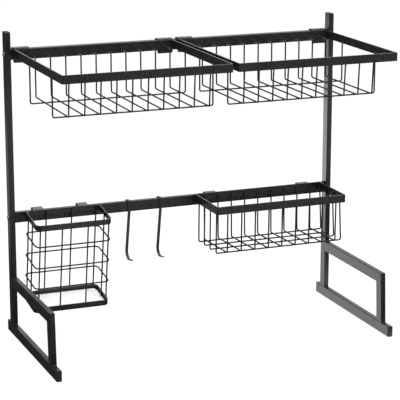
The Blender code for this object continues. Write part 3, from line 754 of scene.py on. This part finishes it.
screwLook = {
    "headRadius": 0.0048,
    "headHeight": 0.0026,
    "headEdge": 0.0006,
    "shankRadius": 0.0025,
    "length": 0.0210,
    "socketRadius": 0.0017,
    "socketRim": 0.0018,
    "socketDepth": 0.0014,
    "socketSink": 0.0001,
    "domeSteps": 8,
    "turns": 48,
    "smoothAngle": 30,
}


def domedScrew(name, node, outward):
    look = screwLook
    low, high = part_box(node)
    middle = (low + high) / 2
    tip = low.x if outward > 0 else high.x
    base = Vector((tip + outward * look["length"], middle.y, middle.z))
    rise = look["headHeight"] - look["headEdge"]
    start = math.asin(look["socketRim"] / look["headRadius"])
    angles = evenly(start, math.pi / 2, look["domeSteps"])
    profile = [(look["headRadius"] * math.sin(a), look["headEdge"] + rise * math.cos(a)) for a in angles]
    seated = -tubeLook["seat"]
    profile += [(look["headRadius"], seated), (look["shankRadius"], seated)]
    profile.append((look["shankRadius"], -look["length"]))
    profile.append((0, -look["length"]))
    shape = bmesh.new()
    verts = [shape.verts.new((r, 0, h)) for r, h in profile]
    edges = [shape.edges.new(pair) for pair in zip(verts, verts[1:])]
    bmesh.ops.spin(
        shape,
        geom=verts + edges,
        cent=(0, 0, 0),
        axis=(0, 0, 1),
        angle=math.tau,
        steps=look["turns"],
        use_merge=True,
    )
    bmesh.ops.remove_doubles(shape, verts=shape.verts, dist=samePlace)
    rimHeight = profile[0][1]
    rim = [e for e in shape.edges if e.is_boundary and abs(e.verts[0].co.z - rimHeight) < samePlace]
    sink = Matrix.Translation((0, 0, rimHeight - look["socketSink"]))
    sides = 6
    bmesh.ops.create_circle(shape, segments=sides, radius=look["socketRadius"], cap_ends=False, matrix=sink)
    hexagon = [e for e in shape.edges if e.is_wire]
    bmesh.ops.subdivide_edges(shape, edges=hexagon, cuts=look["turns"] // sides - 1)
    hexagon = [e for e in shape.edges if e.is_wire]
    bmesh.ops.bridge_loops(shape, edges=rim + hexagon)
    pit = bmesh.ops.extrude_edge_only(shape, edges=hexagon)
    sunk = [g for g in pit["geom"] if isinstance(g, bmesh.types.BMVert)]
    bmesh.ops.translate(shape, verts=sunk, vec=(0, 0, -look["socketDepth"]))
    bmesh.ops.contextual_create(shape, geom=[e for e in shape.edges if e.is_boundary])
    turn = Matrix.Translation(base) @ Matrix.Rotation(outward * math.pi / 2, 4, "Y")
    bmesh.ops.transform(shape, matrix=turn, verts=shape.verts)
    dress(meshPiece(name, shape, look["smoothAngle"]), "screw", "frame", node)


for tier in ("upper", "lower"):
    domedScrew(tier + "LeftScrew", tier + "_crossbar_left_screw", -1)
    domedScrew(tier + "RightScrew", tier + "_crossbar_right_screw", 1)
print("screws made")


# flat bar rims

rimLook = {"bar": 0.0030, "corner": 0.0022, "innerCorner": 0.0006, "steps": 4, "edge": 0.0005}


def rimPiece(name, node, body):
    look = rimLook
    low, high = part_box(node)
    size = high - low
    shape = hollowBar(size.x, size.y, look["bar"], look["corner"], look["innerCorner"], size.z, look["steps"])
    bmesh.ops.translate(shape, verts=shape.verts, vec=((low.x + high.x) / 2, (low.y + high.y) / 2, low.z))
    piece = meshPiece(name, shape)
    easeEdges(piece, look["edge"], 3)
    dress(piece, "coat", body, node)


rimPiece("leftRackRim", "left_rack_rim", "left_rack")
rimPiece("rightRackRim", "right_rack_rim", "right_rack")
rimPiece("basketRim", "basket_rim", "lower_basket")
print("rims made")


# sheet folded over the crossbars

hookLook = {
    "sheet": 0.0020,
    "fold": 0.0016,
    "foldSteps": 6,
    "lipDrop": 0.0110,
    "plateCorner": 0.0030,
    "edge": 0.0004,
}


sheetCornerSteps = 5


# A sheet of the given width along X that follows a path, with the corners of both ends rounded.
def sheetPiece(name, path, width, sheet, corner, edge, turn=Matrix.Identity(4)):
    shape = bmesh.new()
    verts = [shape.verts.new(p - xAxis * width / 2) for p in path]
    edges = [shape.edges.new(pair) for pair in zip(verts, verts[1:])]
    wide = bmesh.ops.extrude_edge_only(shape, edges=edges)
    moved = [g for g in wide["geom"] if isinstance(g, bmesh.types.BMVert)]
    bmesh.ops.translate(shape, verts=moved, vec=(width, 0, 0))
    ends = [v for v in shape.verts if len(v.link_edges) == 2]
    steps = sheetCornerSteps
    bmesh.ops.bevel(
        shape, geom=ends, offset=corner, segments=steps, profile=0.5, affect="VERTICES", material=-1
    )
    bmesh.ops.transform(shape, matrix=turn, verts=shape.verts)
    piece = meshPiece(name, shape)
    thick = piece.modifiers.new("sheet", "SOLIDIFY")
    thick.thickness = sheet
    thick.offset = 0
    thick.use_even_offset = True
    easeEdges(piece, edge)
    return piece


def foldedHook(name, node, body):
    look = hookLook
    low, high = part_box(node)
    half = look["sheet"] / 2
    x = (low.x + high.x) / 2
    front, rear, top = low.y + half, high.y - half, high.z - half
    route = [(x, front, low.z), (x, front, top), (x, rear, top), (x, rear, top - look["lipDrop"])]
    path = bendPath(route, (look["fold"],) * 2, look["foldSteps"])
    piece = sheetPiece(name, path, high.x - low.x, look["sheet"], look["plateCorner"], look["edge"])
    dress(piece, "coat", body, node)


for rack in ("left", "right"):
    foldedHook(rack + "RackHookLeft", rack + "_rack_hook_left", rack + "_rack")
    foldedHook(rack + "RackHookRight", rack + "_rack_hook_right", rack + "_rack")
foldedHook("basketHookLeft", "basket_hook_left", "lower_basket")
foldedHook("basketHookRight", "basket_hook_right", "lower_basket")
print("folded hooks made")


# wire cages of the upper racks

rackCage = {
    "wires": 10,
    "wireInsets": (0.0235, 0.0125),  # first and last wire, from the ties
    "lift": 0.0030,  # top runs above the rim's lower edge
    "drop": 0.0842,  # cage floor below the rim's top
    "topBend": 0.0020,
    "bend": 0.0035,
    "rearSetback": 0.0364,
    "frontSetback": 0.0600,
    "frontFlare": 0.0050,
    "tieShares": (0.233, 0.922),
    "tieInsets": {"left": (0.0060, 0.0070), "right": (0.0110, 0.0058)},
    "weldDepth": 0.0008,
    "crossBead": (0.0020, 0.0020, 0.0012),
    "endBead": (0.0021, 0.0012, 0.0021),
}


def rackWires(side):
    look = rackCage
    bar = rimLook["bar"]
    body = side + "_rack"
    low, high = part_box(side + "_rack_rim")
    width, depth = high.x - low.x, high.y - low.y
    run = low.z + look["lift"]
    floor = high.z - look["drop"] + wire["radius"]
    tieFloor = floor - 2 * wire["radius"] + look["weldDepth"]
    rear, front = look["rearSetback"], depth - look["frontSetback"]
    left, right = look["tieInsets"][side][0], width - look["tieInsets"][side][1]
    radii = (look["topBend"], look["bend"], look["bend"], look["topBend"])

    def at(x, back, z):
        return Vector((low.x + x, high.y - back, z))

    paths = []
    crossings = []
    ends = []
    ties = [rear + (front - rear) * share for share in look["tieShares"]]
    for x in evenly(left + look["wireInsets"][0], right - look["wireInsets"][1], look["wires"]):
        shift, lean = sway(), sway()
        route = [
            at(x + shift, bar / 2, run),
            at(x + shift, rear, run),
            at(x + lean, rear, floor),
            at(x + lean, front, floor),
            at(x - shift, front + look["frontFlare"], run),
            at(x - shift, depth - bar / 2, run),
        ]
        paths.append(bendPath(route, radii, wire["bendSteps"]))
        crossings += [at(x + lean, tie, floor - wire["radius"] + look["weldDepth"] / 2) for tie in ties]
        ends += [at(x + shift, bar, run), at(x - shift, depth - bar, run)]
    for tie in ties:
        shift = sway()
        route = [
            at(bar / 2, tie, run),
            at(left, tie, run),
            at(left, tie + shift, tieFloor),
            at(right, tie + shift, tieFloor),
            at(right, tie, run),
            at(width - bar / 2, tie, run),
        ]
        paths.append(bendPath(route, radii, wire["bendSteps"]))
    cage = wirePiece(side + "RackWires", paths)
    dress(cage, "coat", body, side + "_rack_cage")
    beads = [(place, look["crossBead"]) for place in crossings]
    beads += [(place, look["endBead"]) for place in ends]
    dress(weldBeads(side + "RackWelds", beads), "coat", body)


rackWires("left")
rackWires("right")
print("rack cages made")


# wire cage of the lower basket

basketCage = {
    "wires": 9,
    "wireInsets": (0.0235, 0.0180),
    "topDrop": 0.0050,  # wire ends below the rim's top
    "drop": 0.0917,
    "bend": 0.0035,
    "skew": 0.0050,
    "flare": 0.0020,
    "tieShares": (0.05, 0.33, 0.61, 0.91),
    "tieClearance": 0.0009,
    "tieBulges": (0.0010, 0.0040),
    "weldDepth": 0.0008,
    "crossBead": (0.0019, 0.0019, 0.0012),
    "endBead": (0.0018, 0.0018, 0.0030),
    "endBeadLift": 0.0030,  # above the rim's lower edge
}


def basketWires():
    look = basketCage
    bar = rimLook["bar"]
    low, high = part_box("basket_rim")
    width, depth = high.x - low.x, high.y - low.y
    top = high.z - look["topDrop"]
    floor = high.z - look["drop"] + wire["radius"]
    tieFloor = floor - 2 * wire["radius"] + look["weldDepth"]
    rear, front = bar + wire["radius"], depth - bar - wire["radius"]
    side = bar + look["tieClearance"] + wire["radius"]
    endBead = low.z + look["endBeadLift"]
    radii = (look["bend"],) * 2

    def at(x, back, z):
        return Vector((low.x + x, high.y - back, z))

    paths = []
    crossings = []
    ends = []
    rearFoot, frontFoot = rear + look["flare"], front - look["flare"]
    ties = [rearFoot + (frontFoot - rearFoot) * share for share in look["tieShares"]]
    for x in evenly(look["wireInsets"][0], width - look["wireInsets"][1], look["wires"]):
        shift, lean = sway(), sway()
        route = [
            at(x - look["skew"] + shift, rear, top),
            at(x - look["skew"] + lean, rearFoot, floor),
            at(x + lean, frontFoot, floor),
            at(x + shift, front, top),
        ]
        paths.append(bendPath(route, radii, wire["bendSteps"]))
        for tie in ties:
            along = (tie - rearFoot) / (frontFoot - rearFoot)
            cross = x + lean - look["skew"] * (1 - along)
            crossings.append(at(cross, tie, floor - wire["radius"] + look["weldDepth"] / 2))
        ends += [at(x - look["skew"] + shift, bar, endBead), at(x + shift, depth - bar, endBead)]
    for tie in ties:
        shift = sway()
        route = [
            at(side, tie, top),
            at(side - look["tieBulges"][0], tie + shift, tieFloor),
            at(width - side + look["tieBulges"][1], tie + shift, tieFloor),
            at(width - side, tie, top),
        ]
        paths.append(bendPath(route, radii, wire["bendSteps"]))
        ends += [at(bar, tie, endBead), at(width - bar, tie, endBead)]
    cage = wirePiece("basketWires", paths)
    dress(cage, "coat", "lower_basket", "basket_cage")
    beads = [(place, look["crossBead"]) for place in crossings]
    beads += [(place, look["endBead"]) for place in ends]
    dress(weldBeads("basketWelds", beads), "coat", "lower_basket")


basketWires()
print("basket cage made")


# cutlery basket, which leans about the top edge of its back

cutlery = {
    "width": 0.1440,
    "depth": 0.0730,
    "height": 0.1746,
    "lean": 8.8,
    "standoff": 0.0035,  # from the crossbar's front face
    "rise": 0.0016,  # above the crossbar's top
    "bar": 0.0020,
    "corner": 0.0100,
    "cornerSteps": 10,
    "rimHeight": 0.0105,
    "bandHeight": 0.0108,
    "edge": 0.0004,
    "seat": 0.0003,
    "weldDepth": 0.0003,
    "endSetback": 0.0010,
    "ringShares": (0.246, 0.487, 0.722),
    "frontShares": (0.059, 0.347, 0.688),
    "rearShares": (0.274, 0.615, 0.941),
    "leftShares": (0.089, 0.5),
    "rightShares": (0.5, 0.911),
    "hookShares": (0.18, 0.778),
    "hookWidth": 0.0200,
    "hookSheet": 0.0015,
    "hookDrop": 0.0075,  # at the front and at the rear
    "hookPlay": 0.0055,
    "crossBead": (0.0019, 0.0019, 0.0019),
    "trayHeight": 0.0032,
    "trayWall": 0.0012,
    "trayLift": 0.0012,
}


# The closed outline of a rounded rectangle about zero.
def roundedLoop(width, depth, corner, steps):
    loop = []
    for quarter, (signX, signY) in enumerate(((1, 1), (-1, 1), (-1, -1), (1, -1))):
        centre = Vector((signX * (width / 2 - corner), signY * (depth / 2 - corner), 0))
        for k in range(steps + 1):
            angle = math.pi / 2 * (quarter + k / steps)
            loop.append(centre + corner * Vector((math.cos(angle), math.sin(angle), 0)))
    return loop


# How far a wire near a rounded corner moves in from the straight side.
def cornerBow(distance, length, inset):
    radius = cutlery["corner"] - inset
    past = cutlery["corner"] - min(distance, length - distance)
    return radius - math.sqrt(radius**2 - past**2) if past > 0 else 0


def uprightPlaces(inset):
    look = cutlery
    places = []
    for share in look["frontShares"]:
        x = share * look["width"]
        places.append((x, look["depth"] - inset - cornerBow(x, look["width"], inset), (0, -1)))
    for share in look["rearShares"]:
        x = share * look["width"]
        places.append((x, inset + cornerBow(x, look["width"], inset), (0, 1)))
    for share in look["leftShares"]:
        y = share * look["depth"]
        places.append((inset + cornerBow(y, look["depth"], inset), y, (-1, 0)))
    for share in look["rightShares"]:
        y = share * look["depth"]
        places.append((look["width"] - inset - cornerBow(y, look["depth"], inset), y, (1, 0)))
    return places


def cutleryTurn():
    look = cutlery
    barLow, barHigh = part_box("lower_crossbar")
    rimLow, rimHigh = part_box("cutlery_rim")
    pivot = Vector(((rimLow.x + rimHigh.x) / 2, barLow.y - look["standoff"], barHigh.z + look["rise"]))
    return Matrix.Translation(pivot) @ Matrix.Rotation(math.radians(look["lean"]), 4, "X")


def cutleryBands(turn):
    look = cutlery
    for name, node, base, height in (
        ("cutleryRim", "cutlery_rim", -look["rimHeight"], look["rimHeight"]),
        ("cutleryBottomBand", "cutlery_bottom_band", -look["height"], look["bandHeight"]),
    ):
        inner = look["corner"] - look["bar"]
        shape = hollowBar(
            look["width"], look["depth"], look["bar"], look["corner"], inner, height, look["cornerSteps"]
        )
        bmesh.ops.translate(shape, verts=shape.verts, vec=(0, -look["depth"] / 2, base))
        bmesh.ops.transform(shape, matrix=turn, verts=shape.verts)
        piece = meshPiece(name, shape)
        easeEdges(piece, look["edge"])
        dress(piece, "coat", "cutlery_basket", node)


def cutleryWires(turn):
    look = cutlery
    inset = look["bar"] + wire["radius"]
    ringInset = look["bar"] + look["seat"] - wire["radius"] + look["weldDepth"]
    half = look["depth"] / 2
    paths = []
    beads = []
    for x, back, away in uprightPlaces(inset):
        shift = Vector((sway(), sway(), 0))
        place = Vector((x - look["width"] / 2, -back, 0))
        foot = look["endSetback"] - look["height"]
        path = [place - zAxis * look["endSetback"], place + shift + zAxis * foot / 2, place + zAxis * foot]
        paths.append([turn @ p for p in path])
        touch = place + Vector((*away, 0)) * wire["radius"]
        for share in look["ringShares"]:
            beads.append((touch - zAxis * share * look["height"], look["crossBead"]))
    uprights = len(paths)
    ringWidth, ringDepth = look["width"] - 2 * ringInset, look["depth"] - 2 * ringInset
    outline = roundedLoop(ringWidth, ringDepth, look["corner"] - ringInset, look["cornerSteps"])
    for share in look["ringShares"]:
        drop = Vector((0, -half, -share * look["height"]))
        paths.append([turn @ (p + drop) for p in outline])
    closed = range(uprights, len(paths))
    dress(wirePiece("cutleryWires", paths, closed=closed), "coat", "cutlery_basket", "cutlery_cage")
    dress(weldBeads("cutleryWelds", beads, turn), "coat", "cutlery_basket")


def cutleryHooks(turn):
    look = cutlery
    names = ("cutleryHookLeft", "cutleryHookRight")
    hookNodes = ("cutlery_hook_left", "cutlery_hook_right")
    for name, node, share in zip(names, hookNodes, look["hookShares"]):
        x = (share - 0.5) * look["width"]
        front = look["seat"] + look["hookSheet"] / 2
        rear = front + tubeLook["thin"] + look["hookPlay"]
        top = -look["hookSheet"] / 2
        route = [(x, front, top - look["hookDrop"]), (x, front, top), (x, rear, top)]
        route.append((x, rear, top - look["hookDrop"]))
        path = bendPath(route, (hookLook["fold"],) * 2, hookLook["foldSteps"])
        piece = sheetPiece(
            name, path, look["hookWidth"], look["hookSheet"], hookLook["plateCorner"], hookLook["edge"], turn
        )
        dress(piece, "coat", "cutlery_basket", node)


# A shallow tray with a raised rim and softly rounded edges.
def cutleryTray(turn):
    look = cutlery
    inset = look["bar"] + 2 * look["seat"] + 2 * wire["radius"]
    width, depth = look["width"] - 2 * inset, look["depth"] - 2 * inset
    corner = look["corner"] - inset
    shape = bmesh.new()
    roundedFace(shape, width, depth, corner, look["cornerSteps"])
    base = list(shape.faces)
    top = bmesh.ops.extrude_face_region(shape, geom=base)
    lid = [g for g in top["geom"] if isinstance(g, bmesh.types.BMFace)]
    raised = [g for g in top["geom"] if isinstance(g, bmesh.types.BMVert)]
    bmesh.ops.translate(shape, verts=raised, vec=(0, 0, look["trayHeight"]))
    bmesh.ops.inset_region(shape, faces=lid, thickness=look["trayWall"], use_even_offset=True)
    bowl = bmesh.ops.extrude_face_region(shape, geom=lid)
    sunk = [g for g in bowl["geom"] if isinstance(g, bmesh.types.BMVert)]
    bmesh.ops.translate(shape, verts=sunk, vec=(0, 0, look["trayWall"] - look["trayHeight"]))
    bmesh.ops.delete(shape, geom=lid, context="FACES_ONLY")
    lift = Matrix.Translation((0, -look["depth"] / 2, look["trayLift"] - look["height"]))
    bmesh.ops.transform(shape, matrix=turn @ lift, verts=shape.verts)
    piece = meshPiece("cutleryTray", shape)
    easeEdges(piece, look["edge"], 3)
    dress(piece, "tray", "cutlery_basket", "cutlery_tray")


leanTurn = cutleryTurn()
cutleryBands(leanTurn)
cutleryWires(leanTurn)
cutleryHooks(leanTurn)
cutleryTray(leanTurn)
print("cutlery basket made")


# utensil hooks

utensilHook = {
    "strip": 0.0018,
    "width": 0.0055,
    "shankLean": 11.5,
    "drop": 0.1175,
    "tipReach": 0.0350,
    "tipRise": 0.0065,
    "bend": 0.0140,
    "bendSteps": 14,
    "fold": 0.0018,
    "lipDrop": 0.0110,
    "play": 0.0005,  # behind the crossbar
    "tipCorner": 0.0012,
    "edge": 0.0003,
}


def hookPiece(name, node, body):
    look = utensilHook
    low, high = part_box(node)
    barLow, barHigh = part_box("lower_crossbar")
    half = look["strip"] / 2
    x = (low.x + high.x) / 2
    front = barLow.y - tubeLook["seat"] - half
    rear = barHigh.y + look["play"] + half
    top = barHigh.z + tubeLook["seat"] + half
    lowest = barHigh.z - look["drop"]
    back = front + math.tan(math.radians(look["shankLean"])) * (barLow.z - lowest)
    route = [
        (x, rear, top - look["lipDrop"]),
        (x, rear, top),
        (x, front, top),
        (x, front, barLow.z),
        (x, back, lowest + half),
        (x, back - look["tipReach"], lowest + look["tipRise"]),
    ]
    radii = (look["fold"], look["fold"], look["bend"], look["bend"])
    path = bendPath(route, radii, look["bendSteps"])
    piece = sheetPiece(name, path, look["width"], look["strip"], look["tipCorner"], look["edge"])
    dress(piece, "coat", body, node)


hookPiece("utensilHookOne", "utensil_hook_1", "hook_one")
hookPiece("utensilHookTwo", "utensil_hook_2", "hook_two")
print("utensil hooks made")
